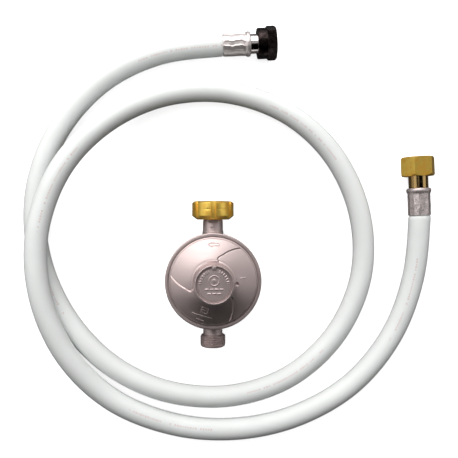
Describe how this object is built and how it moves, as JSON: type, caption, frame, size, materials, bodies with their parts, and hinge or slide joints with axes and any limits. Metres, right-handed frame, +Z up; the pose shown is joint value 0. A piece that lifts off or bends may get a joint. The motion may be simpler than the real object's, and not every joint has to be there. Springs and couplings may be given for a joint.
{
  "type": "gas hose and regulator",
  "caption": "White low-pressure gas hose with a steel and a brass swivel nut, laid in a loose loop round its die-cast diaphragm regulator.",
  "frame": {"origin": "centre of the regulator's flat base, on the surface that the regulator and the hose lie on", "axes": "+Z up out of the dome, +Y along the pipe axis towards the inlet nut, +X to the right seen from above with the inlet at the top"},
  "size_m": [0.331, 0.334, 0.0572],
  "materials": {
    "hose_rubber": "satin extruded rubber with a faint grain",
    "crimped_steel": "bright plating creased by the crimp",
    "dull_steel": "dull plating with crimp marks",
    "plated_steel": "bright turned plating",
    "black_steel": "satin black oxide",
    "turned_brass": "bright turned brass",
    "forged_brass": "satin forged brass, machined ends",
    "cast_zinc": "tumbled die casting, satin",
    "seal_rubber": "matt moulded rubber",
    "spring_wire": "drawn wire",
    "grey_plastic": "moulded plastic",
    "sintered_bronze": "rough sintered bronze"
  },
  "bodies": {
    "regulator": {"regulator_body": "cast_zinc", "regulator_cover": "cast_zinc", "tower_cap": "cast_zinc", "spring_adjuster": "grey_plastic", "main_spring": "spring_wire", "diaphragm": "seal_rubber", "lever_pin": "spring_wire", "nozzle": "turned_brass", "inlet_tail": "turned_brass", "inlet_gasket": "seal_rubber", "inlet_filter": "sintered_bronze"},
    "diaphragm_stack": {"diaphragm_plate": "plated_steel", "diaphragm_washer": "plated_steel", "diaphragm_stem": "turned_brass", "stem_nut": "turned_brass"},
    "lever": {"valve_lever": "plated_steel", "valve_pad": "seal_rubber"},
    "inlet_swivel": {"inlet_nut": "forged_brass"},
    "hose_line": {"hose": "hose_rubber", "steel_ferrule": "crimped_steel", "steel_insert": "plated_steel", "steel_nut_gasket": "seal_rubber", "brass_ferrule": "dull_steel", "brass_insert": "turned_brass", "brass_nut_gasket": "seal_rubber"},
    "steel_swivel": {"steel_nut": "black_steel"},
    "brass_swivel": {"brass_nut": "forged_brass"}
  },
  "joints": [
    {"name": "diaphragm_travel", "type": "slide", "parent": "regulator", "child": "diaphragm_stack", "axis": [0, 0, 1], "range_m": [0, 0.0032], "stiffness_N_per_m": 600, "springref_m": -0.008, "deforming": ["main_spring", "diaphragm"]},
    {"name": "lever_swing", "type": "hinge", "parent": "regulator", "child": "lever", "pos_m": [0, 0.0155, 0.0105], "axis": [1, 0, 0], "range_deg": [-11.95, 0]},
    {"name": "inlet_nut_spin", "type": "hinge", "parent": "regulator", "child": "inlet_swivel", "pos_m": [0, 0.0552, 0.017], "axis": [0, 1, 0], "continuous": true},
    {"name": "hose_lift", "type": "slide", "parent": "regulator", "child": "hose_line", "axis": [0, 0, 1], "range_m": [0, 0.06]},
    {"name": "steel_nut_spin", "type": "hinge", "parent": "hose_line", "child": "steel_swivel", "pos_m": [0.04284, 0.18908, 0.012], "axis": [0.9982, 0.0593, 0], "continuous": true},
    {"name": "brass_nut_spin", "type": "hinge", "parent": "hose_line", "child": "brass_swivel", "pos_m": [0.16677, 0.09106, 0.012], "axis": [-0.0436, 0.999, 0], "continuous": true}
  ],
  "couplings": [
    {"joint": "lever_swing", "follows": "diaphragm_travel", "rad_per_m": -65}
  ]
}
